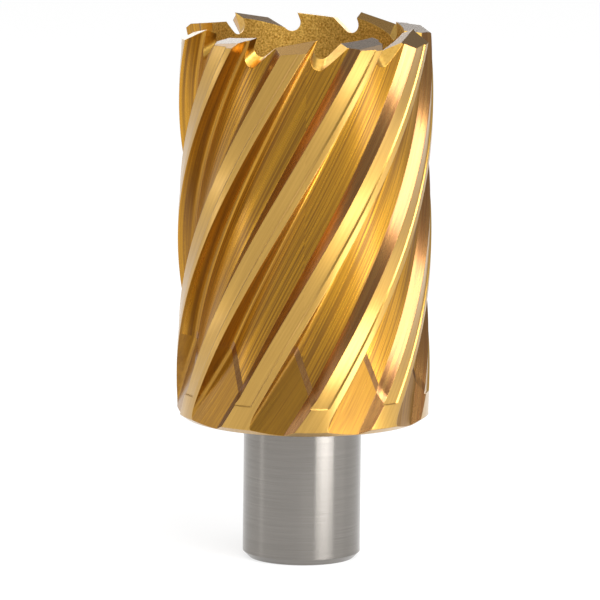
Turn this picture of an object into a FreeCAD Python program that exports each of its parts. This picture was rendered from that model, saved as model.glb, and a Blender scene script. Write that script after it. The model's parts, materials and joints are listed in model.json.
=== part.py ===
import FreeCAD, Part
import Sketcher
import math
import os

# Annular cutter, 41 mm across the teeth, on a round shank with two clamping flats.
# One piece of steel: the shank, the fluted cup and its ten teeth.
# Millimetres and degrees. The axis is Z, z = 0 is the shank end, and +Z runs to the teeth.
# Angles round the axis are counted from -Y towards +X, which is the way the cutter turns.

NODE = "annular_cutter"

SIZES = [
    ("shank_diameter", 19.05, "round shank"),
    ("shank_length", 23.2, "shank end to the underside of the cup"),
    ("shank_bevel", 1.0, "bevel round the shank end"),
    ("pin_bore", 8.0, "through bore for the ejector pin"),
    ("pin_bore_bevel", 0.5, "bevel at the outer mouth of the pin bore"),
    ("flat_start", 3.0, "lower end of a clamping flat, from the shank end"),
    ("flat_length", 15.4, "clamping flat, along the shank"),
    ("flat_depth", 0.65, "clamping flat, below the round"),
    ("flat_angle", 156, "direction that the first flat faces"),
    ("flat_spacing", 90, "angle between the two flats"),
    ("cutter_diameter", 41, "across the margins"),
    ("tip_height", 87.1, "shank end to the highest cutting corners"),
    ("cup_bore", 31.4, "inside of the cup"),
    ("cup_floor", 29, "floor of the cup, from the shank end"),
    ("cup_floor_round", 1.5, "round between the floor and the wall of the cup"),
    ("collar_bevel_width", 1.1, "bevel under the cup, along the radius"),
    ("collar_bevel_height", 0.8, "bevel under the cup, along the axis"),
    ("tooth_pairs", 5, "pairs of one high and one low tooth"),
    ("helix_lead", 223, "rise of a flute in one full turn"),
    ("edge_angle", 2.6, "place of the first tooth's edge at the height of the tips"),
    ("margin_angle", 3.5, "full-diameter margin behind each cutting edge"),
    ("relieved_angle", 8.1, "relieved land behind the margin, a little past the heel"),
    ("relief_depth", 0.25, "relieved land below the margin"),
    ("relief_start", 27.8, "lower end of the relieved land, from the shank end"),
    ("flute_floor_radius", 17.5, "flute floor beside the rake wall"),
    ("flute_exit_height", 36.5, "where a flute leaves its helix, from the shank end"),
    ("flute_lag", 2.0, "angle from the cutting edge to the foot of the rake wall"),
    ("section_tilt", 69.4, "slope of the flute's section plane below the level"),
    ("rake_tilt", 13, "lean of the rake wall in the section"),
    ("rake_foot_bevel", 0.5, "narrow bevel at the foot of the rake wall, along each side"),
    ("floor_width", 7.33, "flute floor in the section"),
    ("floor_tilt", 7.2, "rise of the flute floor in the section"),
    ("heel_tilt", 39, "rise of the heel bevel in the section"),
    ("exit_rise", 8.5, "slope of the run-out, outwards"),
    ("exit_lean", 31.2, "lean of the run-out from the axis"),
    ("lip_lead", 3.5, "inner cutting corner ahead of the outer one"),
    ("gullet_depth", 3.3, "bottom of the gullet below the cutting corner, at the bore"),
    ("gullet_round", 1.4, "round at the bottom of the gullet"),
    ("gullet_front_tilt", 21.2, "lean of the gullet's front wall"),
    ("gullet_back_tilt", 41, "rise of the gullet's back"),
    ("gullet_fall", 0.68, "fall of the gullet for each millimetre outwards"),
    ("gullet_drift", 0.32, "sideways drift of the gullet for each millimetre outwards"),
    ("ridge_radius", 17.5, "ridge of a high tooth"),
    ("ridge_outer_tilt", 24, "fall of a high tooth outside its ridge"),
    ("ridge_inner_tilt", 22, "fall of a high tooth inside its ridge"),
    ("ridge_relief", 11, "fall of a high tooth behind its edge"),
    ("low_tooth_drop", 0.3, "low teeth below the high ones"),
    ("top_tilt", 5.6, "fall of a low tooth's top, outwards"),
    ("top_radius", 19.6, "start of a low tooth's outer bevel"),
    ("top_bevel_tilt", 35, "fall of a low tooth's outer bevel"),
    ("top_relief", 6.5, "fall of a low tooth behind its edge"),
    ("top_skew", 5, "inward turn of the tooth tops, so that they follow the cup"),
    ("clearance_cut", 2.5, "how far a cut is drawn past the blank"),
]

doc = FreeCAD.newDocument(NODE)
sheet = doc.addObject("Spreadsheet::Sheet", "Sizes")
for row, (alias, value, meaning) in enumerate(SIZES, start=1):
    sheet.set(f"A{row}", alias)
    sheet.set(f"B{row}", str(value))
    sheet.set(f"C{row}", meaning)
    sheet.setAlias(f"B{row}", alias)
doc.recompute()


def cells(formula):
    """A formula with each size's name turned into its cell of the sheet."""
    for alias in sorted((entry[0] for entry in SIZES), key=len, reverse=True):
        formula = formula.replace(f"[{alias}]", f"Sizes.{alias}")
    return formula


def origin_part(body, role):
    """The origin plane or axis of a body, by its role."""
    return next(item for item in body.Origin.OriginFeatures if item.Role == role)


def sketch_at(body, name, place, turn):
    """A sketch on the level origin plane, moved to a place and turned (yaw; pitch; roll)."""
    sketch = body.newObject("Sketcher::SketchObject", name)
    sketch.AttachmentSupport = (origin_part(body, "XY_Plane"), [""])
    sketch.MapMode = "FlatFace"
    sketch.setExpression("AttachmentOffset", cells(f"placement(vector({place}); rotation({turn}))"))
    return sketch


def draw(sketch, corners):
    """Draws a closed outline. Each corner is (x, y) or (x, y, radius), written as formulas of the sheet."""
    spots = []
    for corner in corners:
        x, y = (float(sketch.evalExpression(cells(text))) for text in corner[:2])
        spots.append(FreeCAD.Vector(x, y, 0))
    count = len(corners)
    starts, ends, radii = list(spots), list(spots), {}
    for i, corner in enumerate(corners):
        if len(corner) == 3:
            radii[i] = float(sketch.evalExpression(cells(corner[2])))
            back = (spots[i - 1] - spots[i]).normalize()
            ahead = (spots[(i + 1) % count] - spots[i]).normalize()
            reach = radii[i] / math.tan(back.getAngle(ahead) / 2)
            ends[i] = spots[i] + back * reach
            starts[i] = spots[i] + ahead * reach
    for i in range(count):
        sketch.addGeometry(Part.LineSegment(starts[i], ends[(i + 1) % count]), False)
    for i, corner in enumerate(corners):
        before = (i - 1) % count
        x, y = (cells(text) for text in corner[:2])
        if i not in radii:
            sketch.addConstraint(Sketcher.Constraint("Coincident", before, 2, i, 1))
            pin(sketch, i, 1, spots[i], x, y)
            continue
        back = (ends[i] - spots[i]).normalize()
        ahead = (starts[i] - spots[i]).normalize()
        inward = (back + ahead).normalize()
        centre = spots[i] + inward * (radii[i] / math.sin(back.getAngle(ahead) / 2))
        middle = centre - inward * radii[i]
        arc = sketch.addGeometry(Part.Arc(ends[i], middle, starts[i]), False)
        spot = sketch.addGeometry(Part.Point(spots[i]), True)
        first = 1 if sketch.getPoint(arc, 1).distanceToPoint(ends[i]) < radii[i] / 100 else 2
        sketch.addConstraint(Sketcher.Constraint("Tangent", before, 2, arc, first))
        sketch.addConstraint(Sketcher.Constraint("Tangent", arc, 3 - first, i, 1))
        sketch.addConstraint(Sketcher.Constraint("PointOnObject", spot, 1, before))
        sketch.addConstraint(Sketcher.Constraint("PointOnObject", spot, 1, i))
        pin(sketch, spot, 1, spots[i], x, y)
        radius = sketch.addConstraint(Sketcher.Constraint("Radius", arc, radii[i]))
        sketch.setExpression(f"Constraints[{radius}]", cells(corner[2]))


def pin(sketch, geometry, end, spot, x, y):
    """Holds a point of a sketch at two formulas of the sheet, measured from the sketch's origin."""
    across = sketch.addConstraint(Sketcher.Constraint("DistanceX", -1, 1, geometry, end, spot.x))
    sketch.setExpression(f"Constraints[{across}]", x)
    up = sketch.addConstraint(Sketcher.Constraint("DistanceY", -1, 1, geometry, end, spot.y))
    sketch.setExpression(f"Constraints[{up}]", y)


def add_feature(body, kind, name):
    """A feature of the body. Its faces aren't merged, since merged faces spoil the helical cuts."""
    feature = body.newObject(f"PartDesign::{kind}", name)
    feature.Refine = False
    return feature


def slanted_pocket(body, name, section, direction, length):
    """Carries a section along a direction of the body's own axes and cuts it from the body."""
    cut = add_feature(body, "Pocket", name)
    cut.Profile = section
    cut.UseCustomVector = True
    cut.AlongSketchNormal = False
    cut.setExpression("Direction", cells(f"vector({direction})"))
    cut.setExpression("Length", cells(length))
    return cut


def helical_cut(body, name, section, rise):
    """Carries a section up the flutes' helix and cuts it from the body."""
    cut = add_feature(body, "SubtractiveHelix", name)
    cut.Profile = section
    cut.ReferenceAxis = (origin_part(body, "Z_Axis"), [""])
    cut.Mode = "pitch-height-angle"
    cut.HasBeenEdited = True
    cut.LeftHanded = False
    cut.Reversed = False
    cut.setExpression("Pitch", cells("[helix_lead]"))
    cut.setExpression("Height", cells(rise))
    return cut


def polar_pattern(body, name, originals, copies):
    """Repeats features evenly round the axis."""
    pattern = add_feature(body, "PolarPattern", name)
    pattern.Originals = originals
    pattern.Axis = (origin_part(body, "Z_Axis"), [""])
    pattern.Angle = 360
    pattern.setExpression("Occurrences", cells(copies))
    body.Tip = pattern
    return pattern


body = doc.addObject("PartDesign::Body", "AnnularCutter")
body.Label = NODE

# The turned blank: a shank and a cup, a little taller than the teeth.
blank_top = "[tip_height] + [clearance_cut] / 2"
blank = sketch_at(body, "BlankSection", "0; 0; 0", "0; 0; 90")
draw(blank, [
    ("[pin_bore] / 2 + [pin_bore_bevel]", "0"),
    ("[shank_diameter] / 2 - [shank_bevel]", "0"),
    ("[shank_diameter] / 2", "[shank_bevel]"),
    ("[shank_diameter] / 2", "[shank_length]"),
    ("[cutter_diameter] / 2 - [collar_bevel_width]", "[shank_length]"),
    ("[cutter_diameter] / 2", "[shank_length] + [collar_bevel_height]"),
    ("[cutter_diameter] / 2", blank_top),
    ("[cup_bore] / 2", blank_top),
    ("[cup_bore] / 2", "[cup_floor]", "[cup_floor_round]"),
    ("[pin_bore] / 2", "[cup_floor]"),
    ("[pin_bore] / 2", "[pin_bore_bevel]"),
])
turned = add_feature(body, "Revolution", "TurnedBlank")
turned.Profile = blank
turned.ReferenceAxis = (origin_part(body, "Z_Axis"), [""])
turned.Angle = 360

# The clamping flats, milled into the shank between its two ends.
flat_inside = "[shank_diameter] / 2 - [flat_depth]"
for number in range(2):
    facing = f"[flat_angle] + {number} * [flat_spacing]"
    flat = sketch_at(body, f"FlatSection{number + 1}", "0; 0; [flat_start]", facing + "; 0; 0")
    draw(flat, [
        ("-[shank_diameter] / 2", "-[shank_diameter]"),
        ("[shank_diameter] / 2", "-[shank_diameter]"),
        ("[shank_diameter] / 2", f"-({flat_inside})"),
        ("-[shank_diameter] / 2", f"-({flat_inside})"),
    ])
    cut = add_feature(body, "Pocket", f"ClampingFlat{number + 1}")
    cut.Profile = flat
    cut.Reversed = True
    cut.setExpression("Length", cells("[flat_length]"))

# The relieved land behind each margin: a level section carried up the helix.
mill_radius = "[cutter_diameter] / 2 + [clearance_cut]"
mill_rise = "[tip_height] + [clearance_cut]"
degrees_per_rise = "360 / [helix_lead]"
relief_edge = "-[margin_angle]"
relief_heel = "-([margin_angle] + [relieved_angle])"
relief_floor = "([cutter_diameter] / 2 - [relief_depth])"
edge_at = "[edge_angle] + ({height} - [tip_height]) * " + degrees_per_rise

relief = sketch_at(
    body, "ReliefSection", "0; 0; [relief_start]",
    edge_at.format(height="[relief_start]") + " + " + relief_edge + "; 0; 0",
)
far = relief_heel + " - (" + relief_edge + ")"
draw(relief, [
    ("0", f"-{relief_floor}"),
    ("0", f"-({mill_radius})"),
    (f"({mill_radius}) * sin({far})", f"-({mill_radius}) * cos({far})"),
    (f"{relief_floor} * sin({far})", f"-{relief_floor} * cos({far})"),
])
relieved_land = helical_cut(body, "RelievedLand", relief, mill_rise + " - [relief_start]")

# The flute: a rake wall, a flat floor and a heel bevel, drawn in a plane that leans along the flute.
section_turn = edge_at.format(height="[flute_exit_height]") + " + [flute_lag]"
flute = sketch_at(body, "FluteSection", "0; 0; [flute_exit_height]", section_turn + "; [section_tilt]; 180")
heel_x = "[floor_width] * cos([floor_tilt])"
heel_y = "[flute_floor_radius] + [floor_width] * sin([floor_tilt])"
draw(flute, [
    (f"-({mill_radius} - [flute_floor_radius]) * tan([rake_tilt])", mill_radius),
    ("-[rake_foot_bevel] * sin([rake_tilt])", "[flute_floor_radius] + [rake_foot_bevel] * cos([rake_tilt])"),
    ("[rake_foot_bevel] * cos([floor_tilt])", "[flute_floor_radius] + [rake_foot_bevel] * sin([floor_tilt])"),
    (heel_x, heel_y),
    (f"{heel_x} + ({mill_radius} - {heel_y}) / tan([heel_tilt])", mill_radius),
])
flute_cut = helical_cut(body, "Flute", flute, mill_rise + " - [shank_length]")

# The run-out: the same section, carried straight on, outwards and down to the underside of the cup.
sideways, outwards = "tan([exit_lean])", "tan([exit_rise])"
slant_allowance = "[clearance_cut] * 3"
flute_exit = slanted_pocket(
    body, "FluteRunOut", flute,
    f"-{sideways} * cos({section_turn}) + {outwards} * sin({section_turn});"
    f" -{sideways} * sin({section_turn}) - {outwards} * cos({section_turn}); -1",
    f"[flute_exit_height] - [shank_length] + {slant_allowance}",
)
polar_pattern(body, "Flutes", [relieved_land, flute_cut, flute_exit], "2 * [tooth_pairs]")

# The gullet in front of each tooth: drawn at the bore, and carried outwards and down into the flute.
tip_turn = "([edge_angle] + [lip_lead])"
bore_radius = "([cup_bore] / 2)"
gullet_length = "([cutter_diameter] - [cup_bore]) * 2"
gullet = sketch_at(
    body, "GulletSection",
    f"{bore_radius} * sin({tip_turn}); -{bore_radius} * cos({tip_turn}); [tip_height]",
    tip_turn + "; 0; 90",
)
half_opening = "((90 - [gullet_front_tilt] - [gullet_back_tilt]) / 2)"
front_length = (
    "(([gullet_depth] - [gullet_round] - [gullet_round] * sin([gullet_front_tilt]))"
    f" / cos([gullet_front_tilt]) + [gullet_round] / tan({half_opening}))"
)
bottom_x = f"-{front_length} * sin([gullet_front_tilt])"
bottom_y = f"-{front_length} * cos([gullet_front_tilt])"
gullet_top = "([clearance_cut] * 2)"
draw(gullet, [
    (f"{gullet_top} * tan([gullet_front_tilt])", gullet_top),
    (bottom_x, bottom_y, "[gullet_round]"),
    (f"{bottom_x} + ({gullet_top} - ({bottom_y})) / tan([gullet_back_tilt])", gullet_top),
])
gullet_cut = slanted_pocket(
    body, "Gullet", gullet,
    f"sin({tip_turn}) - [gullet_drift] * cos({tip_turn});"
    f" -cos({tip_turn}) - [gullet_drift] * sin({tip_turn}); -[gullet_fall]",
    gullet_length,
)
gullet_cut.Midplane = True
polar_pattern(body, "Gullets", [gullet_cut], "2 * [tooth_pairs]")


def top_cut(name, turn, relief_tilt, roof):
    """Cuts the tops of one kind of tooth: all that stands above a roof, which falls behind the edge."""
    ahead = "[clearance_cut] / 2"
    heading = f"({turn} - [top_skew])"
    section = sketch_at(
        body, name + "Section",
        f"{ahead} * cos({heading}); {ahead} * sin({heading}); {ahead} * tan({relief_tilt})",
        f"{turn} - 90; 0; 90",
    )
    draw(section, roof + [(mill_radius, mill_rise), (mill_inside, mill_rise)])
    cut = slanted_pocket(
        body, name, section,
        f"-cos{heading}; -sin{heading}; -tan({relief_tilt})",
        f"{bore_radius} * sin(180 / [tooth_pairs])",
    )
    polar_pattern(body, name + "s", [cut], "[tooth_pairs]")


# The tops of the high teeth: two facets that meet in a ridge.
mill_inside = "[cup_bore] / 2 - [clearance_cut]"
top_cut("HighTop", tip_turn, "[ridge_relief]", [
    (mill_inside, f"[tip_height] - ([ridge_radius] - ({mill_inside})) * tan([ridge_inner_tilt])"),
    ("[ridge_radius]", "[tip_height]"),
    (mill_radius, f"[tip_height] - ({mill_radius} - [ridge_radius]) * tan([ridge_outer_tilt])"),
])

# The tops of the low teeth: a broad top, highest at the bore, and a bevel at its outer corner.
low_tip = "[tip_height] - [low_tooth_drop]"
low_bevel = f"{low_tip} - ([top_radius] - {bore_radius}) * tan([top_tilt])"
top_cut("LowTop", tip_turn + " + 180 / [tooth_pairs]", "[top_relief]", [
    (mill_inside, f"{low_tip} + ({bore_radius} - ({mill_inside})) * tan([top_tilt])"),
    ("[top_radius]", low_bevel),
    (mill_radius, f"{low_bevel} - ({mill_radius} - [top_radius]) * tan([top_bevel_tilt])"),
])

doc.recompute()
for item in doc.Objects:
    faults = [state for state in item.State if state in ("Invalid", "Error")]
    if faults:
        raise RuntimeError(f"{item.Label}: {faults}")
if body.Shape.isNull() or not body.Shape.isValid() or len(body.Shape.Solids) != 1:
    raise RuntimeError(f"{body.Label}: not one valid solid")

os.makedirs("parts", exist_ok=True)
body.Shape.exportStep(f"parts/{body.Label}.step")
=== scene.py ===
"""Annular cutter: the visual model, its finishes and the studio it stands in.

Sizes are in millimetres and degrees, as in the cutter's drawing, and become metres when a mesh is made.
The axis is Z, z = 0 is the shank end, and angles round the axis run from -Y towards +X.
"""

import json
import logging
import math
from collections.abc import Mapping, Sequence
from dataclasses import dataclass, field, replace
from enum import Enum

import bmesh
import bpy
import numpy as np
from mathutils import Matrix, Vector

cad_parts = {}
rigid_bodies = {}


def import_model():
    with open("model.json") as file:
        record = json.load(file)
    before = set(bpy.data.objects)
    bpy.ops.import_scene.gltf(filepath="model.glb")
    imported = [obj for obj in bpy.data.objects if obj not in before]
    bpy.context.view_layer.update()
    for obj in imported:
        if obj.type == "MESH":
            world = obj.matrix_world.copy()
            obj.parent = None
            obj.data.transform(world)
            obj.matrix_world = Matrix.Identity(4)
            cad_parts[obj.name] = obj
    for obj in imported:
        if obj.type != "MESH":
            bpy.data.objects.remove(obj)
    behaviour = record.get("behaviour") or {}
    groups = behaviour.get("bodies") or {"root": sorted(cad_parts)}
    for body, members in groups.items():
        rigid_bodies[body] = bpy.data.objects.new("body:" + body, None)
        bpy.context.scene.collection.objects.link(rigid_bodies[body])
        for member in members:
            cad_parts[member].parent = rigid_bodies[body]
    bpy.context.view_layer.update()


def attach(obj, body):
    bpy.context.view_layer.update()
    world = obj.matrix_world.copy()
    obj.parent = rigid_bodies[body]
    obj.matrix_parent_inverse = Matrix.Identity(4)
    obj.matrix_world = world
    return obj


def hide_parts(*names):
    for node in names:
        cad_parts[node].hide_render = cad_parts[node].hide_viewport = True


LOG = logging.getLogger("annular_cutter")
MM = 0.001

# The frame that the camera was fitted to, the width of its sensor in millimetres, and how far it sees in
# metres.
FRAME_PIXELS = 600
SENSOR_WIDTH = 36.0
FARTHEST_SEEN = 20.0

# The noise behind every tool mark: its middle, its layers, and the strength of each against the last one.
NOISE_MIDDLE = 0.5
NOISE_LAYERS = 3.0
NOISE_FALL_OFF = 0.6

# How far from its middle the noise reaches full light or full dark at no contrast, and how much nearer it
# does so at full contrast.
SOFT_SPREAD = 0.32
CRISPER_BY = 0.22

# The worn edges are worked out from this many looks round a point, and the oil film has this roughness.
EDGE_SAMPLES = 6
FILM_ROUGHNESS = 0.24

Point = tuple[float, float]
Points = np.ndarray


def srgb(text: str) -> tuple[float, float, float, float]:
    """Turns a colour as it is seen on a screen into the linear colour that a shader takes.

    Args:
        text: The colour as six hex digits.

    Returns:
        Red, green, blue and alpha, linear.
    """
    channels = [int(text[i:i + 2], 16) / 255 for i in (0, 2, 4)]
    # The numbers are those of the sRGB curve itself: a straight foot, and a power above it.
    linear = [c / 12.92 if c <= 0.04045 else ((c + 0.055) / 1.055) ** 2.4 for c in channels]
    return linear[0], linear[1], linear[2], 1.0


def add_node(
    tree: bpy.types.NodeTree,
    kind: str,
    inputs: Mapping[str | int, object] | None = None,
    **settings: object,
) -> bpy.types.Node:
    """Adds one node with its settings, values and links.

    Args:
        tree: The node tree to add to.
        kind: The node's type name, without the ShaderNode that it starts with.
        inputs: For each input, by name or place, its value or the output socket that feeds it.
        **settings: The node's own properties.

    Returns:
        The new node.
    """
    node = tree.nodes.new("ShaderNode" + kind)
    for name, value in settings.items():
        setattr(node, name, value)
    for key, value in (inputs or {}).items():
        socket = node.inputs[key]
        if isinstance(value, bpy.types.NodeSocket):
            tree.links.new(value, socket)
        else:
            socket.default_value = value
    return node


def new_material(name: str) -> bpy.types.Material:
    """Makes a material whose node tree is still empty.

    Args:
        name: The material's name.

    Returns:
        The new material.
    """
    material = bpy.data.materials.new(name)
    material.use_nodes = True
    material.node_tree.nodes.clear()
    return material


def add_object(name: str, data: bpy.types.ID) -> bpy.types.Object:
    """Makes an object and links it to the scene.

    Args:
        name: The object's name.
        data: Its mesh, lamp or camera.

    Returns:
        The new object.
    """
    item = bpy.data.objects.new(name, data)
    bpy.context.scene.collection.objects.link(item)
    return item


class Face(Enum):
    """Which surface of the cutter a face belongs to. The value is its material's place in the list."""

    SHANK = 0
    LAND = 1
    FLUTE = 2
    HEEL = 3
    BORE = 4
    GULLET = 5
    HIGH_TOP = 6
    LOW_TOP = 7
    RUN_OUT = 8
    RUN_OUT_HEEL = 9
    WHEEL_CORNER = 10


class Grain(Enum):
    """The way a surface's grinding marks run."""

    HELIX = "along the flutes"
    RING = "round the axis"
    EVEN = "every way, as blasting leaves it"


@dataclass(frozen=True)
class GrainPattern:
    """Fine grinding marks, drawn as noise that is stretched along the way the wheel ran.

    Attributes:
        direction: The way the marks run.
        width: Width of a mark across its run, in millimetres.
        length: Length of a mark along its run, in millimetres.
        lead: Rise of the helix in one turn, for marks along the flutes, in millimetres.
        radius: Distance from the axis at which a mark has its width, in millimetres.
        depth: How many times wider than elsewhere a mark is on a wall that faces round the axis.
    """

    direction: Grain
    width: float
    length: float
    lead: float = 223.0
    radius: float = 18.0
    depth: float = 3.0

    def build(self, tree: bpy.types.NodeTree) -> bpy.types.NodeSocket:
        """Adds the pattern's nodes.

        Args:
            tree: The material's node tree.

        Returns:
            The noise's output, from 0 to 1.
        """
        place = add_node(tree, "TexCoord").outputs["Object"]
        fine, coarse = 1 / (self.width * MM), 1 / (self.length * MM)
        if self.direction is Grain.HELIX:
            place = self.unrolled(tree, place)
        scale = {
            Grain.HELIX: (fine, fine / self.depth, coarse),
            Grain.RING: (coarse, coarse, fine),
            Grain.EVEN: (fine, fine, fine),
        }[self.direction]
        stretched = add_node(tree, "VectorMath", {0: place, 1: scale}, operation="MULTIPLY").outputs[0]
        return add_node(tree, "TexNoise", {
            "Vector": stretched, "Scale": 1.0, "Detail": NOISE_LAYERS, "Roughness": NOISE_FALL_OFF,
        }).outputs["Fac"]

    def across(self, tree: bpy.types.NodeTree) -> bpy.types.NodeSocket:
        """Adds nodes that give the direction across the marks, in which a highlight stretches.

        Args:
            tree: The material's node tree.

        Returns:
            The direction.
        """
        if self.direction is not Grain.HELIX:
            return add_node(tree, "CombineXYZ", {"Z": 1.0}).outputs[0]
        place = add_node(tree, "TexCoord").outputs["Object"]
        around = add_node(
            tree, "VectorRotate", {"Vector": place, "Angle": math.pi / 2}, rotation_type="Z_AXIS"
        ).outputs[0]
        level = add_node(
            tree, "VectorMath", {0: around, 1: (1.0, 1.0, 0.0)}, operation="MULTIPLY"
        ).outputs[0]
        fall = -2 * math.pi * self.radius ** 2 / self.lead * MM
        return add_node(tree, "VectorMath", {0: level, 1: (0.0, 0.0, fall)}, operation="ADD").outputs[0]

    def unrolled(self, tree: bpy.types.NodeTree, place: bpy.types.NodeSocket) -> bpy.types.NodeSocket:
        """Adds nodes that lay a helical surface out flat.

        Args:
            tree: The material's node tree.
            place: The point on the surface.

        Returns:
            The distance round the axis from the helix, the distance from the axis and the height.
        """
        parts = add_node(tree, "SeparateXYZ", {0: place})
        angle = add_node(
            tree, "Math", {0: parts.outputs["X"], 1: parts.outputs["Y"]}, operation="ARCTAN2"
        ).outputs[0]
        straight = add_node(tree, "Math", {
            0: parts.outputs["Z"], 1: 2 * math.pi / (self.lead * MM), 2: angle,
        }, operation="MULTIPLY_ADD").outputs[0]
        around = add_node(tree, "Math", {0: straight, 1: self.radius * MM}, operation="MULTIPLY").outputs[0]
        level = add_node(tree, "CombineXYZ", {"X": parts.outputs["X"], "Y": parts.outputs["Y"]}).outputs[0]
        distance = add_node(tree, "VectorMath", {0: level}, operation="LENGTH").outputs["Value"]
        return add_node(tree, "CombineXYZ", {
            "X": around, "Y": distance, "Z": parts.outputs["Z"],
        }).outputs[0]


@dataclass(frozen=True)
class MetalFinish:
    """A metal surface: its colours, its polish and the marks of the tool that made it.

    Attributes:
        name: What the material is and how its surface was made.
        light: The colour where the coating or the metal is lightest.
        dark: The colour in its darker streaks.
        roughness: Lowest and highest roughness, at the two ends of the marks.
        grain: The tool marks.
        bump: Depth of the marks, in millimetres.
        edge: Radius of the worn edge that catches the light, in millimetres.
        contrast: How sharply light and dark streaks part, from 0 to 1.
        stretch: How far the highlights stretch across the marks, from 0 to 1.
        film: How much of the thin film of oil there is, from 0 to 1.
    """

    name: str
    light: str
    dark: str
    roughness: tuple[float, float]
    grain: GrainPattern
    bump: float
    edge: float = 0.1
    contrast: float = 0.5
    stretch: float = 0.0
    film: float = 0.4

    def build(self) -> bpy.types.Material:
        """Makes the material.

        Returns:
            The Blender material.
        """
        material = new_material(self.name)
        tree = material.node_tree
        marks = self.grain.build(tree)
        spread = SOFT_SPREAD - CRISPER_BY * self.contrast
        tone = add_node(tree, "MapRange", {
            "Value": marks, "From Min": NOISE_MIDDLE - spread, "From Max": NOISE_MIDDLE + spread,
        }).outputs[0]
        colour = add_node(tree, "Mix", {
            "Factor": tone, "A": srgb(self.dark), "B": srgb(self.light),
        }, data_type="RGBA")
        rough = add_node(tree, "MapRange", {
            "Value": tone, "To Min": self.roughness[1], "To Max": self.roughness[0],
        }).outputs[0]
        edge = add_node(tree, "Bevel", {"Radius": self.edge * MM}, samples=EDGE_SAMPLES).outputs[0]
        normal = add_node(tree, "Bump", {
            "Strength": 1.0, "Distance": self.bump * MM, "Height": marks, "Normal": edge,
        }).outputs[0]
        shader = add_node(tree, "BsdfPrincipled", {
            "Base Color": colour.outputs["Result"], "Roughness": rough, "Normal": normal, "Metallic": 1.0,
            "Anisotropic": self.stretch, "Tangent": self.grain.across(tree),
            "Coat Weight": self.film, "Coat Roughness": FILM_ROUGHNESS, "Coat Normal": edge,
        })
        add_node(tree, "OutputMaterial", {"Surface": shader.outputs[0]})
        return material


# The cutting end is tool steel with a gold nitride coating, ground before it was coated, under a film of
# rust-proofing oil that whitens its highlights.

# The lands between the flutes: a pale, even gold, on which a highlight runs down the tooth as one band.
COATED_LAND = MetalFinish(
    "nitride_coated_ground_land", "C2973E", "AC822E", (0.28, 0.34),
    GrainPattern(Grain.HELIX, 0.35, 14.0), 0.002, edge=0.22, contrast=0.3, stretch=0.5, film=1.0,
)
# The flutes: a deeper gold, drawn out into long dark and light streaks where the wheel ran up the helix.
COATED_FLUTE = MetalFinish(
    "nitride_coated_ground_flute", "C68F18", "84580C", (0.26, 0.36),
    GrainPattern(Grain.HELIX, 0.28, 45.0), 0.003, edge=0.2, contrast=0.85, stretch=0.8, film=0.6,
)
# The run-outs at the foot of the flutes: the same gold, with finer and fainter streaks.
COATED_RUN_OUT = MetalFinish(
    "nitride_coated_ground_run_out", "B28018", "865A0C", (0.26, 0.36),
    GrainPattern(Grain.HELIX, 0.18, 45.0, lead=187.0, depth=8.0), 0.002, contrast=0.3, stretch=0.8, film=0.6,
)
# The heel bevels: painted shade, brown beside the gold of the lands, and cream where one of them faces the
# key lamp.
HEEL_PAINTED_SHADE = MetalFinish(
    "nitride_coated_heel_painted_shade", "A0702A", "74440A", (0.24, 0.3),
    GrainPattern(Grain.HELIX, 0.4, 20.0), 0.002, film=1.0,
)
# The bore, blasted with beads before it was coated: dull and grainy, with no direction.
COATED_BORE = MetalFinish(
    "nitride_coated_blasted_bore", "EAC468", "9C7024", (0.52, 0.6),
    GrainPattern(Grain.EVEN, 0.3, 0.3), 0.04, contrast=0.7, film=0.2,
)
# The gullets, ground with a small round wheel: brighter than the flutes, and almost without streaks.
COATED_GULLET = MetalFinish(
    "nitride_coated_ground_gullet", "D4AC54", "B88A36", (0.3, 0.38),
    GrainPattern(Grain.EVEN, 0.5, 0.5), 0.002, contrast=0.2, film=0.2,
)
# The tops of the high teeth, coated like the rest: a brown gold, darker than the lands.
COATED_TOP = MetalFinish(
    "nitride_coated_ground_tooth_top", "866426", "765620", (0.24, 0.32),
    GrainPattern(Grain.EVEN, 0.15, 0.15), 0.001, contrast=0.3, film=0.2,
)
# The tops of the low teeth, ground again after coating: bare steel, grey beside the gold.
BARE_TOP = MetalFinish(
    "bare_ground_tooth_top", "88745E", "76644E", (0.24, 0.32),
    GrainPattern(Grain.EVEN, 0.15, 0.15), 0.001, contrast=0.2, film=0.2,
)
# The shank, ground round and left bare: grey and satin. The fine rings that the wheel left pull each
# highlight into an upright band.
BARE_SHANK = MetalFinish(
    "bare_ground_shank", "8E8A85", "7E7A75", (0.22, 0.27),
    GrainPattern(Grain.RING, 0.1, 12.0), 0.0007, contrast=0.1, stretch=0.85, film=0.1,
)

FINISHES: Mapping[Face, MetalFinish] = {
    Face.SHANK: BARE_SHANK,
    Face.LAND: COATED_LAND,
    Face.FLUTE: COATED_FLUTE,
    Face.HEEL: HEEL_PAINTED_SHADE,
    Face.BORE: COATED_BORE,
    Face.GULLET: COATED_GULLET,
    Face.HIGH_TOP: COATED_TOP,
    Face.LOW_TOP: BARE_TOP,
    Face.RUN_OUT: COATED_RUN_OUT,
    # The heel bevels of the run-outs carry the same painted shade.
    Face.RUN_OUT_HEEL: HEEL_PAINTED_SHADE,
    # The facet left by the wheel's corner is real, but its dark heel brown is painted shade for the wedge
    # where flute meets run-out.
    Face.WHEEL_CORNER: HEEL_PAINTED_SHADE,
}


def sine(angle: float) -> float:
    """Sine of an angle in degrees."""
    return math.sin(math.radians(angle))


def cosine(angle: float) -> float:
    """Cosine of an angle in degrees."""
    return math.cos(math.radians(angle))


def tangent(angle: float) -> float:
    """Tangent of an angle in degrees."""
    return math.tan(math.radians(angle))


def turned(points: Points, angle: float) -> Points:
    """Turns points about the axis.

    Args:
        points: Rows of x, y and z.
        angle: The turn in degrees, from -Y towards +X.

    Returns:
        The turned points.
    """
    c, s = cosine(angle), sine(angle)
    return points @ np.array([[c, s, 0], [-s, c, 0], [0, 0, 1]])


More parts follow.
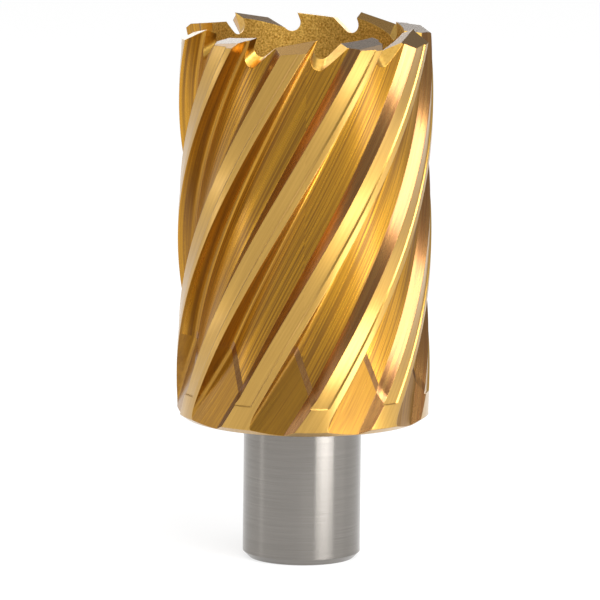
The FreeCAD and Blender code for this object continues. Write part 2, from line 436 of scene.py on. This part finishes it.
def rounded(corner: Point, before: Point, after: Point, radius: float, steps: int) -> list[Point]:
    """The points of a round that takes the place of a corner.

    Args:
        corner: The sharp corner.
        before: A point on the line that leads to it.
        after: A point on the line that leaves it.
        radius: Radius of the round.
        steps: Number of straight steps along the round.

    Returns:
        The points, from the first line to the second.
    """
    c, a, b = (Vector(p) for p in (corner, before, after))
    back, ahead = (a - c).normalized(), (b - c).normalized()
    half = back.angle(ahead) / 2
    centre = c + (back + ahead).normalized() * (radius / math.sin(half))
    start = c + back * (radius / math.tan(half)) - centre
    sweep = start.angle_signed(c + ahead * (radius / math.tan(half)) - centre)
    points = []
    for i in range(steps + 1):
        spoke = start.copy()
        spoke.rotate(Matrix.Rotation(-sweep * i / steps, 2))
        points.append(tuple(centre + spoke))
    return points


@dataclass
class Solid:
    """A closed mesh in the making: rings of points, joined one to the next.

    Attributes:
        rings: Each ring's points, all with the same number of rows.
        faces: The surface that each side of the ring makes.
        ends: The surface of the two flat ends.
        closed: Whether the last ring joins the first, as in a turned part.
        starts: The surfaces of the first bands between rings, where they are others than the rest.
    """

    rings: list[Points]
    faces: Sequence[Face]
    ends: Face
    closed: bool = False
    starts: Sequence[Sequence[Face]] = ()

    def add_to(self, mesh: bmesh.types.BMesh) -> None:
        """Adds the solid to a mesh.

        Args:
            mesh: The mesh that the solid is added to.
        """
        rows = [[mesh.verts.new(p * MM) for p in ring] for ring in self.rings]
        count = len(self.faces)
        pairs = list(zip(rows, rows[1:]))
        if self.closed:
            pairs.append((rows[-1], rows[0]))
        made = []
        for number, (low, high) in enumerate(pairs):
            sides = self.starts[number] if number < len(self.starts) else self.faces
            for i, side in enumerate(sides):
                j = (i + 1) % count
                face = mesh.faces.new((low[i], low[j], high[j], high[i]))
                face.material_index = side.value
                made.append(face)
        if not self.closed:
            for row in (rows[0], rows[-1]):
                face = mesh.faces.new(row)
                face.material_index = self.ends.value
                made.append(face)
        bmesh.ops.recalc_face_normals(mesh, faces=made)

    def around(self, angles: Sequence[float]) -> list["Solid"]:
        """Copies the solid round the axis.

        Args:
            angles: The turn of each copy, in degrees.

        Returns:
            The copies.
        """
        return [replace(self, rings=[turned(ring, a) for ring in self.rings]) for a in angles]


def mesh_object(name: str, solids: Sequence[Solid]) -> bpy.types.Object:
    """Makes one object from one or more solids.

    Args:
        name: The object's name.
        solids: The solids.

    Returns:
        The new object, linked to the scene.
    """
    work = bmesh.new()
    for solid in solids:
        solid.add_to(work)
    data = bpy.data.meshes.new(name)
    work.to_mesh(data)
    work.free()
    return add_object(name, data)


@dataclass
class CutterBody:
    """The cutter itself, one piece of steel, made as the real one is: turned, fluted, then ground.

    Attributes:
        shank_radius: Radius of the shank.
        shank_length: Height of the shank, up to the cup's underside.
        shank_bevel: Bevel at the shank's end.
        pin_bore_radius: Radius of the pilot pin's bore.
        pin_bore_bevel: Bevel where that bore leaves the shank.
        flat_start: Height of the lower end of the clamping flats.
        flat_end: Height of their upper end.
        flat_distance: Distance of the flats from the axis.
        flat_angles: Where the two flats lie round the axis.
        radius: Radius over the cutting edges.
        tip_height: Height of the high teeth's tips.
        bore_radius: Radius of the cup's bore.
        cup_floor: Height of the bore's floor.
        cup_floor_round: Radius of the round between wall and floor of the bore.
        collar_bevel: Bevel at the cup's underside, inwards and upwards.
        teeth: Number of teeth, high and low ones together.
        lead: Rise of the flutes in one turn.
        edge_angle: Angle of the first tooth's edge at its tip.
        margin_angle: Width of the margin behind each edge.
        relieved_angle: Width of the relieved land behind the margin.
        relief_depth: How much deeper the relieved land lies than the margin.
        relief_start: Height at which the relieved land starts.
        floor_radius: Distance of the flute's floor from the axis, at the foot of the rake wall.
        exit_height: Height at which the flute leaves the helix and runs straight out below.
        flute_lag: Angle from the edge to the foot of the rake wall.
        section_tilt: Slope of the line along which the section's width is laid, from the level.
        rake_tilt: Lean of the rake wall, from the radius.
        rake_foot_round: Radius of the round at the foot of the rake wall.
        floor_width: Width of the flute's floor.
        floor_tilt: Slope of the floor, up towards the heel.
        heel_tilt: Slope of the heel bevel.
        exit_rise: Lean of the run-out away from the axis on its way down, from the upright.
        exit_lean: Its lean sideways, from the upright.
        corner_rise: How much less deep the flute is where the wheel's corner leaves a facet.
        corner_steps: How many steps of the helix that facet takes up.
        lip_lead: Angle by which the cuts of gullets and tops start ahead of the edge.
        gullet_depth: Depth of a gullet below the tip.
        gullet_round: Radius of its bottom.
        gullet_front_tilt: Lean of its side at the tooth's face, from the upright.
        gullet_back_tilt: Slope of its other side, from the level.
        gullet_fall: How far a gullet falls for each millimetre outwards.
        gullet_drift: How far it moves sideways for each millimetre outwards.
        gullet_headroom: How far above the tips the cut of a gullet starts.
        ridge_radius: Distance of the high teeth's ridge from the axis.
        ridge_tilts: Fall of their inner and their outer facet.
        ridge_relief: Fall of their tops behind the edge.
        low_drop: How much lower the low teeth are, at the bore.
        top_tilt: Fall of their tops outwards.
        top_radius: Distance from the axis at which their outer bevel starts.
        top_bevel_tilt: Fall of that bevel.
        top_relief: Fall of their tops behind the edge.
        top_skew: Turn of the cuts over the teeth, from the level line across the radius.
        overcut: How far a cut reaches beyond the metal.
        round_steps: Straight steps along a round.
        gullet_steps: Straight steps along a gullet's bottom.
        lathe_steps: Straight steps round the turned blank.
        helix_steps: Straight steps along a flute.
        sharp_angle: Bend from which an edge stays crisp.
        weld_distance: Corners closer than this become one after the cuts.
    """

    shank_radius: float = 9.525
    shank_length: float = 23.2
    shank_bevel: float = 1.0
    pin_bore_radius: float = 4.0
    pin_bore_bevel: float = 0.5
    flat_start: float = 3.0
    flat_end: float = 18.4
    flat_distance: float = 8.875
    flat_angles: tuple[float, float] = (156.0, 246.0)
    radius: float = 20.5
    tip_height: float = 87.1
    bore_radius: float = 15.7
    cup_floor: float = 29.0
    cup_floor_round: float = 1.5
    collar_bevel: tuple[float, float] = (1.1, 0.8)
    teeth: int = 10
    lead: float = 223.0
    edge_angle: float = 2.6
    margin_angle: float = 3.5
    relieved_angle: float = 8.1
    relief_depth: float = 0.25
    relief_start: float = 27.8
    floor_radius: float = 17.5
    exit_height: float = 36.5
    flute_lag: float = 2.0
    section_tilt: float = 69.4
    rake_tilt: float = 13.0
    rake_foot_round: float = 0.8
    floor_width: float = 7.33
    floor_tilt: float = 7.2
    heel_tilt: float = 39.0
    exit_rise: float = 8.5
    exit_lean: float = 31.2
    corner_rise: float = 0.25
    corner_steps: int = 2
    lip_lead: float = 3.5
    gullet_depth: float = 3.3
    gullet_round: float = 1.4
    gullet_front_tilt: float = 21.2
    gullet_back_tilt: float = 41.0
    gullet_fall: float = 0.68
    gullet_drift: float = 0.32
    gullet_headroom: float = 5.0
    ridge_radius: float = 17.5
    ridge_tilts: tuple[float, float] = (22.0, 24.0)
    ridge_relief: float = 11.0
    low_drop: float = 0.3
    top_tilt: float = 5.6
    top_radius: float = 19.6
    top_bevel_tilt: float = 35.0
    top_relief: float = 6.5
    top_skew: float = 5.0
    overcut: float = 2.5
    round_steps: int = 8
    gullet_steps: int = 16
    lathe_steps: int = 360
    helix_steps: int = 110
    sharp_angle: float = 24.0
    weld_distance: float = 0.002

    def edge_at(self, height: float) -> float:
        """Angle of the first tooth's edge at a height."""
        return self.edge_angle + (height - self.tip_height) * 360 / self.lead

    def spacing(self, every: int = 1, first: int = 0) -> list[float]:
        """Angles of the teeth, or of every so many of them, from a first one."""
        return [360 * i / self.teeth for i in range(first, self.teeth, every)]

    def blank(self) -> bpy.types.Object:
        """Turns the blank: shank, collar and cup, a little taller than the teeth.

        Returns:
            The turned blank.
        """
        top = self.tip_height + self.overcut / 2
        bore, floor = self.bore_radius, self.cup_floor
        outline: list[tuple[float, float, Face]] = [
            (self.pin_bore_radius + self.pin_bore_bevel, 0.0, Face.SHANK),
            (self.shank_radius - self.shank_bevel, 0.0, Face.SHANK),
            (self.shank_radius, self.shank_bevel, Face.SHANK),
            (self.shank_radius, self.shank_length, Face.LAND),
            (self.radius - self.collar_bevel[0], self.shank_length, Face.LAND),
            (self.radius, self.shank_length + self.collar_bevel[1], Face.LAND),
            (self.radius, top, Face.HIGH_TOP),
            (bore, top, Face.BORE),
        ]
        foot = rounded((bore, floor), (bore, top), (0.0, floor), self.cup_floor_round, self.round_steps)
        outline += [(r, z, Face.BORE) for r, z in foot]
        outline += [
            (self.pin_bore_radius, floor, Face.BORE),
            (self.pin_bore_radius, self.pin_bore_bevel, Face.SHANK),
        ]
        section = np.array([(0.0, -r, z) for r, z, _ in outline])
        rings = [turned(section, 360 * i / self.lathe_steps) for i in range(self.lathe_steps)]
        return mesh_object("blank", [Solid(rings, [f for _, _, f in outline], Face.SHANK, closed=True)])

    def flat_mill(self) -> bpy.types.Object:
        """Makes the cuts of the two clamping flats.

        Returns:
            The cuts.
        """
        far = self.shank_radius + self.overcut
        ring = np.array([
            (-far, -self.flat_distance, 0.0), (-far, -far, 0.0),
            (far, -far, 0.0), (far, -self.flat_distance, 0.0),
        ])
        ends = [ring + (0, 0, z) for z in (self.flat_start, self.flat_end)]
        flat = Solid(ends, [Face.SHANK] * len(ring), Face.SHANK)
        return mesh_object("flat_mill", flat.around(self.flat_angles))

    def helix(self, ring: Points, rise: float) -> list[Points]:
        """Carries a ring of points up the helix.

        Args:
            ring: The points at the start.
            rise: How far it rises, in millimetres.

        Returns:
            The rings, the first included.
        """
        steps = [rise * i / self.helix_steps for i in range(self.helix_steps + 1)]
        return [turned(ring, z * 360 / self.lead) + (0, 0, z) for z in steps]

    def relief_mill(self) -> bpy.types.Object:
        """Makes the cuts of the relieved lands, behind the margins.

        Returns:
            The cuts.
        """
        low, high = self.radius - self.relief_depth, self.radius + self.overcut
        far = -self.relieved_angle
        ring = np.array([
            (0.0, -low, 0.0), (high - low, -high, 0.0),
            (high * sine(far), -high * cosine(far), 0.0), (low * sine(far), -low * cosine(far), 0.0),
        ])
        start = self.edge_at(self.relief_start) - self.margin_angle
        ring = turned(ring, start) + (0, 0, self.relief_start)
        rings = self.helix(ring, self.tip_height + self.overcut - self.relief_start)
        land = Solid(rings, [Face.LAND] * len(ring), Face.LAND)
        return mesh_object("relief_mill", land.around(self.spacing()))

    def flute_section(self) -> tuple[list[Point], list[Face]]:
        """The flute's section in its leaning plane, from the top of the rake wall to the heel.

        Returns:
            The section's points, and the surface that starts at each of them.
        """
        high = self.radius + self.overcut
        wall = (-(high - self.floor_radius) * tangent(self.rake_tilt), high)
        foot = (0.0, self.floor_radius)
        corner = (
            self.floor_width * cosine(self.floor_tilt),
            self.floor_radius + self.floor_width * sine(self.floor_tilt),
        )
        heel = (corner[0] + (high - corner[1]) / tangent(self.heel_tilt), high)
        fillet = rounded(foot, wall, corner, self.rake_foot_round, self.round_steps)
        points = [wall] + fillet
        start = fillet[-1]
        for i in range(1, self.round_steps):
            share = i / self.round_steps
            points.append((
                start[0] + (corner[0] - start[0]) * share,
                start[1] + (corner[1] - start[1]) * share,
            ))
        faces = [Face.FLUTE] * len(points) + [Face.HEEL, Face.LAND]
        return points + [corner, heel], faces

    def flute_mill(self) -> bpy.types.Object:
        """Makes the cuts of the flutes: straight out at the collar, then up the helix.

        Returns:
            The cuts.
        """
        points, faces = self.flute_section()
        tilt_c, tilt_s = cosine(self.section_tilt), sine(self.section_tilt)
        ring = np.array([(x * tilt_c, -y, self.exit_height - x * tilt_s) for x, y in points])
        out = np.array([-tangent(self.exit_lean), -tangent(self.exit_rise), -1.0])
        drop = self.exit_height - self.shank_length + self.overcut
        turn = self.edge_at(self.exit_height) + self.flute_lag
        corner = ring.copy()
        corner[:, 1] -= self.corner_rise * np.clip(ring[:, 0] / self.rake_foot_round, 0, 1)
        rings = [turned(ring + out * drop, turn), turned(corner, turn)]
        helix = self.helix(turned(ring, turn), self.tip_height + self.overcut - self.shank_length)
        rings += helix[self.corner_steps:]
        run_out = {Face.FLUTE: Face.RUN_OUT, Face.HEEL: Face.RUN_OUT_HEEL}
        starts = [
            [run_out.get(face, face) for face in faces],
            [
                Face.WHEEL_CORNER if face is Face.FLUTE and x > 0 else face
                for face, (x, _) in zip(faces, points)
            ],
        ]
        flute = Solid(rings, faces, Face.FLUTE, starts=starts)
        return mesh_object("flute_mill", flute.around(self.spacing()))

    def gullet_mill(self) -> bpy.types.Object:
        """Makes the cuts of the gullets in front of the teeth, through the wall and down into the flutes.

        Returns:
            The cuts.
        """
        front, back, radius = self.gullet_front_tilt, self.gullet_back_tilt, self.gullet_round
        reach = (self.gullet_depth - radius - radius * sine(front)) / cosine(front)
        reach += radius / tangent((90 - front - back) / 2)
        bottom = (-reach * sine(front), -reach * cosine(front))
        top = self.gullet_headroom
        first = (top * tangent(front), top)
        last = (bottom[0] + (top - bottom[1]) / tangent(back), top)
        points = [first] + rounded(bottom, first, last, radius, self.gullet_steps) + [last]
        out = np.array([-self.gullet_drift, -1.0, -self.gullet_fall])
        ring = np.array([(x, -self.bore_radius, self.tip_height + z) for x, z in points])
        wall = self.radius - self.bore_radius
        beyond = wall / 2
        rings = [
            turned(ring + out * s, self.edge_angle + self.lip_lead)
            for s in (-beyond, wall + beyond)
        ]
        gullet = Solid(rings, [Face.GULLET] * len(points), Face.GULLET)
        return mesh_object("gullet_mill", gullet.around(self.spacing()))

    def top_mill(
        self,
        name: str,
        roof: Sequence[Point],
        relief: float,
        first: int,
        face: Face,
    ) -> bpy.types.Object:
        """Makes the cuts over one kind of tooth: all that stands above a roof that falls behind the edge.

        Args:
            name: The object's name.
            roof: The roof's points, as radius and height, from the inside out.
            relief: How steeply the roof falls behind the edge, in degrees.
            first: 0 for the high teeth and 1 for the low ones.
            face: The surface that the cut leaves.

        Returns:
            The cuts over every second tooth.
        """
        top = self.tip_height + self.overcut
        outline = [*roof, (roof[-1][0], top), (roof[0][0], top)]
        ring = np.array([(0.0, -r, z) for r, z in outline])
        skew = self.top_skew
        ahead = np.array([cosine(skew), -sine(skew), tangent(relief)])
        length = self.bore_radius * sine(360 / self.teeth)
        start = self.overcut / 2
        rings = [
            turned(ring + ahead * s, self.edge_angle + self.lip_lead)
            for s in (start, start - length * cosine(relief))
        ]
        cut = Solid(rings, [face] * len(outline), face)
        return mesh_object(name, cut.around(self.spacing(2, first)))

    def high_mill(self) -> bpy.types.Object:
        """Makes the cuts over the high teeth: two facets that meet in a ridge.

        Returns:
            The cuts.
        """
        inner, outer = self.bore_radius - self.overcut, self.radius + self.overcut
        ridge = self.ridge_radius
        roof = [
            (inner, self.tip_height - (ridge - inner) * tangent(self.ridge_tilts[0])),
            (ridge, self.tip_height),
            (outer, self.tip_height - (outer - ridge) * tangent(self.ridge_tilts[1])),
        ]
        return self.top_mill("high_mill", roof, self.ridge_relief, 0, Face.HIGH_TOP)

    def low_mill(self) -> bpy.types.Object:
        """Makes the cuts over the low teeth: a broad top and a bevel at its outer corner.

        Returns:
            The cuts.
        """
        inner, outer = self.bore_radius - self.overcut, self.radius + self.overcut
        tip = self.tip_height - self.low_drop
        bevel = tip - (self.top_radius - self.bore_radius) * tangent(self.top_tilt)
        roof = [
            (inner, tip + (self.bore_radius - inner) * tangent(self.top_tilt)),
            (self.top_radius, bevel),
            (outer, bevel - (outer - self.top_radius) * tangent(self.top_bevel_tilt)),
        ]
        return self.top_mill("low_mill", roof, self.top_relief, 1, Face.LOW_TOP)

    def cut(self, blank: bpy.types.Object, mills: Sequence[bpy.types.Object]) -> bpy.types.Mesh:
        """Takes the cuts from the blank, one after another.

        Args:
            blank: The turned blank.
            mills: The cuts, in their order.

        Returns:
            The mesh that is left.
        """
        materials = [FINISHES[face].build() for face in Face]
        for item in (blank, *mills):
            for material in materials:
                item.data.materials.append(material)
        for mill in mills:
            step = blank.modifiers.new(mill.name, "BOOLEAN")
            step.operation = "DIFFERENCE"
            step.solver = "MANIFOLD"
            step.object = mill
        graph = bpy.context.evaluated_depsgraph_get()
        mesh = bpy.data.meshes.new_from_object(blank.evaluated_get(graph))
        for item in (blank, *mills):
            bpy.data.objects.remove(item)
        return mesh

    def smooth(self, mesh: bpy.types.Mesh) -> None:
        """Shades the mesh smooth, with its real edges left crisp.

        Args:
            mesh: The mesh to shade.
        """
        work = bmesh.new()
        work.from_mesh(mesh)
        bmesh.ops.remove_doubles(work, verts=work.verts, dist=self.weld_distance * MM)
        for face in work.faces:
            face.smooth = True
        limit = math.radians(self.sharp_angle)
        for edge in work.edges:
            alike = len({face.material_index for face in edge.link_faces}) == 1
            edge.smooth = alike and len(edge.link_faces) == 2 and edge.calc_face_angle() < limit
        work.to_mesh(mesh)
        work.free()

    def build(self) -> bpy.types.Object:
        """Makes the cutter in its finishes.

        Returns:
            The finished cutter.
        """
        mills = [
            self.flat_mill(), self.relief_mill(), self.flute_mill(),
            self.gullet_mill(), self.high_mill(), self.low_mill(),
        ]
        mesh = self.cut(self.blank(), mills)
        self.smooth(mesh)
        piece = add_object("cutter_body", mesh)
        LOG.info("cutter_body: %d faces", len(mesh.polygons))
        return piece


@dataclass(frozen=True)
class Lamp:
    """A soft box that faces the cutter.

    Attributes:
        azimuth: Where it stands round the cutter, in degrees from the camera's side towards the right.
        elevation: How high it stands, in degrees.
        distance: How far away it is, in metres.
        size: Its width and height, in metres.
        power: Its power in watts.
    """

    azimuth: float
    elevation: float
    distance: float
    size: tuple[float, float]
    power: float

    def build(self, name: str, target: Vector) -> None:
        """Adds the lamp.

        Args:
            name: The lamp's name.
            target: The point that it faces, in metres.
        """
        data = bpy.data.lights.new(name, "AREA")
        data.shape = "RECTANGLE"
        data.size, data.size_y = self.size
        data.energy = self.power
        lamp = add_object(name, data)
        level = cosine(self.elevation)
        towards = Vector((sine(self.azimuth) * level, -cosine(self.azimuth) * level, sine(self.elevation)))
        lamp.location = target + towards * self.distance
        lamp.rotation_euler = towards.to_track_quat("Z", "Y").to_euler()


@dataclass
class Studio:
    """The floor, the lamps and the camera.

    Attributes:
        distance: From the camera to its target, in millimetres.
        focal_pixels: The lens, in pixels of the frame.
        elevation: The camera's height above the level, in degrees.
        roll: The camera's turn about its own line of sight, in degrees.
        target: The point that it looks at, in millimetres.
        floor_reach: From the middle of the square floor to its sides, in metres.
        floor_colour: The floor's colour.
        floor_glow: How far the floor is white of itself where it is seen, which lightens its shadows.
        world_colour: The colour of the room.
        world_strength: How brightly the room shines.
        lamps: The soft boxes.
    """

    distance: float = 1500.0
    focal_pixels: float = 9268.9
    elevation: float = 9.81
    roll: float = 0.63
    target: tuple[float, float, float] = (-0.63, 0.0, 42.07)
    floor_reach: float = 6.0
    floor_colour: str = "FFFFFF"
    floor_glow: float = 0.74
    world_colour: str = "FFFFFF"
    world_strength: float = 0.52
    lamps: tuple[Lamp, ...] = field(default_factory=lambda: (
        # Low at the right, near and upright: the upper half of the land and flute right of the middle.
        Lamp(44, 2, 0.22, (0.065, 0.14), 0.1),
        # Lower still: the lower half of the middle lands, their bright edges, and the band on the shank.
        Lamp(44, -17, 0.13, (0.08, 0.05), 0.07),
        # A long card at the left: a thin light along the steps behind the margins.
        Lamp(-90, 22, 0.5, (0.5, 0.1), 0.2),
        # A narrow strip at the far left: the soft patches in the left flutes and a line on the shank.
        Lamp(-84, 4, 0.24, (0.035, 0.12), 0.025),
        # Wide and low at the right: the flute and the run-out near the right edge.
        Lamp(70, -1, 0.3, (0.22, 0.08), 0.055),
        # The key lamp: the cream heel bevels at the right, the bore's wall and the floor.
        Lamp(28, 40, 0.5, (0.42, 0.2), 2.7),
        # High behind the left shoulder: the tops of the high teeth and the sides of the gullets.
        Lamp(-138, 50, 0.5, (0.25, 0.25), 0.55),
        # Overhead: the bottoms of the gullets, the facets at the back and the floor.
        Lamp(60, 80, 1.0, (1.1, 1.1), 5.6),
        # A long strip behind: the tops of the low teeth and the slopes of the gullets at the back.
        Lamp(180, 8, 1.4, (1.8, 0.3), 4.0),
    ))

    def camera(self) -> None:
        """Adds the camera, as the photograph was taken."""
        centre = Vector(self.target) * MM
        sight = Vector((0, cosine(self.elevation), -sine(self.elevation)))
        right = Vector((1, 0, 0))
        up = Vector((0, sine(self.elevation), cosine(self.elevation)))
        c, s = cosine(self.roll), sine(self.roll)
        frame = Matrix((right * c + up * s, up * c - right * s, -sight)).transposed().to_4x4()
        frame.translation = centre - sight * self.distance * MM
        data = bpy.data.cameras.new("camera")
        data.sensor_width = SENSOR_WIDTH
        data.lens = self.focal_pixels / FRAME_PIXELS * SENSOR_WIDTH
        data.clip_end = FARTHEST_SEEN
        camera = add_object("camera", data)
        camera.matrix_world = frame
        bpy.context.scene.camera = camera

    def floor(self) -> bpy.types.Object:
        """Adds the white floor. It shows white where no shadow falls.

        Returns:
            The floor.
        """
        work = bmesh.new()
        bmesh.ops.create_grid(work, x_segments=1, y_segments=1, size=self.floor_reach)
        data = bpy.data.meshes.new("floor")
        work.to_mesh(data)
        work.free()
        floor = add_object("floor", data)
        material = new_material("white_studio_paper")
        tree = material.node_tree
        paper = add_node(tree, "BsdfDiffuse", {"Color": srgb(self.floor_colour)}).outputs[0]
        white = add_node(tree, "Emission", {"Color": srgb(self.floor_colour), "Strength": 1.0}).outputs[0]
        path = add_node(tree, "LightPath")
        seen = path.outputs["Is Camera Ray"]
        for ray in ("Is Glossy Ray", "Is Transmission Ray"):
            seen = add_node(tree, "Math", {0: seen, 1: path.outputs[ray]}, operation="MAXIMUM").outputs[0]
        share = add_node(tree, "Math", {0: seen, 1: self.floor_glow}, operation="MULTIPLY").outputs[0]
        mixed = add_node(tree, "MixShader", {0: share, 1: paper, 2: white}).outputs[0]
        add_node(tree, "OutputMaterial", {"Surface": mixed})
        data.materials.append(material)
        return floor

    def room(self) -> None:
        """Sets the even light of the room."""
        world = bpy.data.worlds.new("room")
        world.use_nodes = True
        tree = world.node_tree
        tree.nodes.clear()
        glow = add_node(tree, "Background", {
            "Color": srgb(self.world_colour), "Strength": self.world_strength,
        })
        add_node(tree, "OutputWorld", {"Surface": glow.outputs[0]})
        bpy.context.scene.world = world

    def build(self) -> None:
        """Adds the whole studio."""
        self.camera()
        self.floor()
        self.room()
        for number, lamp in enumerate(self.lamps, start=1):
            lamp.build(f"soft_box_{number}", Vector(self.target) * MM)
        bpy.context.scene.view_settings.view_transform = "Standard"
        LOG.info("studio: %d lamps", len(self.lamps))


def main() -> None:
    """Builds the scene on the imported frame."""
    logging.basicConfig(level=logging.INFO, format="%(name)s: %(message)s")
    for item in list(bpy.data.objects):
        bpy.data.objects.remove(item)
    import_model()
    body = CutterBody().build()
    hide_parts("annular_cutter")
    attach(body, "root")
    Studio().build()


if __name__ == "__main__":
    main()
